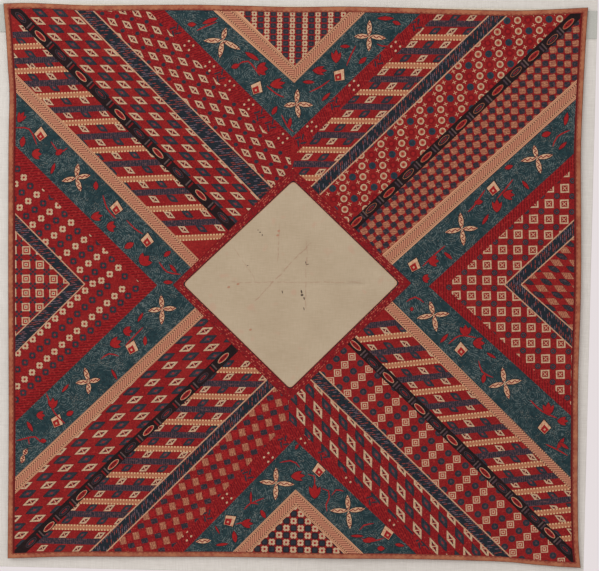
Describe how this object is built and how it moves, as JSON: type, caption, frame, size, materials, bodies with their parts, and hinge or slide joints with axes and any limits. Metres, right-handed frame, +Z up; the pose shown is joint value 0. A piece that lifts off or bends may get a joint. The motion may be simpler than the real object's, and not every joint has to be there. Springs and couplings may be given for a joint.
{
  "type": "patterned cloth on display panel",
  "caption": "Patterned square cloth hung by a hook-and-loop header from a fabric-covered display panel that lifts off a wall cleat.",
  "frame": {"origin": "on the wall plane, at the middle of the wall cleat's line of screw holes", "axes": "+X to the right as seen from the front, +Y towards the wall, +Z up; the cloth faces -Y"},
  "size_m": [1.09, 0.0482, 1.07],
  "materials": {
    "cleat_wood": "planed hardwood, unvarnished",
    "frame_wood": "planed pine, unvarnished",
    "board_wood": "thin plywood, sanded",
    "screw_steel": "yellow zinc plated",
    "plate_steel": "zinc plated",
    "staple_steel": "galvanised wire",
    "pad_rubber": "matt",
    "panel_cloth": "plain weave, light grey",
    "hook_tape": "woven nylon tape with hooks, grey",
    "loop_tape": "brushed nylon loop pile, grey",
    "webbing": "unbleached cotton webbing",
    "thread": "waxed cotton thread",
    "dyed_cotton": "thin plain-woven cotton, dyed red, blue-green and black on cream",
    "edging_tape": "narrow woven tape, salmon, stitched"
  },
  "bodies": {
    "wall": {"wall_cleat": "cleat_wood"},
    "panel": {"panel_cleat": "cleat_wood", "panel_cleat_screws": "screw_steel", "stretcher_top": "frame_wood", "stretcher_bottom": "frame_wood", "stretcher_left": "frame_wood", "stretcher_right": "frame_wood", "hanging_rail": "frame_wood", "lower_rail": "frame_wood", "centre_stile": "frame_wood", "rail_screws": "screw_steel", "corner_plates": "plate_steel", "corner_plate_screws": "screw_steel", "spacer_left": "frame_wood", "spacer_right": "frame_wood", "spacer_screws": "screw_steel", "wall_pads": "pad_rubber", "face_board": "board_wood", "cover_fabric": "panel_cloth", "cover_staples": "staple_steel", "hook_tape": "hook_tape", "hook_tape_staples": "staple_steel"},
    "header": {"loop_tape": "loop_tape", "header_webbing": "webbing", "header_stitching": "thread", "cloth_top_band": "dyed_cotton", "edging_top": "edging_tape"},
    "drop": {"cloth_drop": "dyed_cotton", "edging_left": "edging_tape", "edging_right": "edging_tape", "edging_bottom": "edging_tape"}
  },
  "joints": [
    {"name": "panel_lift", "type": "slide", "parent": "wall", "child": "panel", "axis": [0, 0, 1], "range_m": [0, 0.025]},
    {"name": "header_release", "type": "slide", "parent": "panel", "child": "header", "axis": [0, -1, 0], "range_m": [0, 0.06]},
    {"name": "cloth_swing", "type": "hinge", "parent": "header", "child": "drop", "pos_m": [0.005, -0.0475, 0.088], "axis": [-1, 0, 0], "range_deg": [0, 45]}
  ]
}
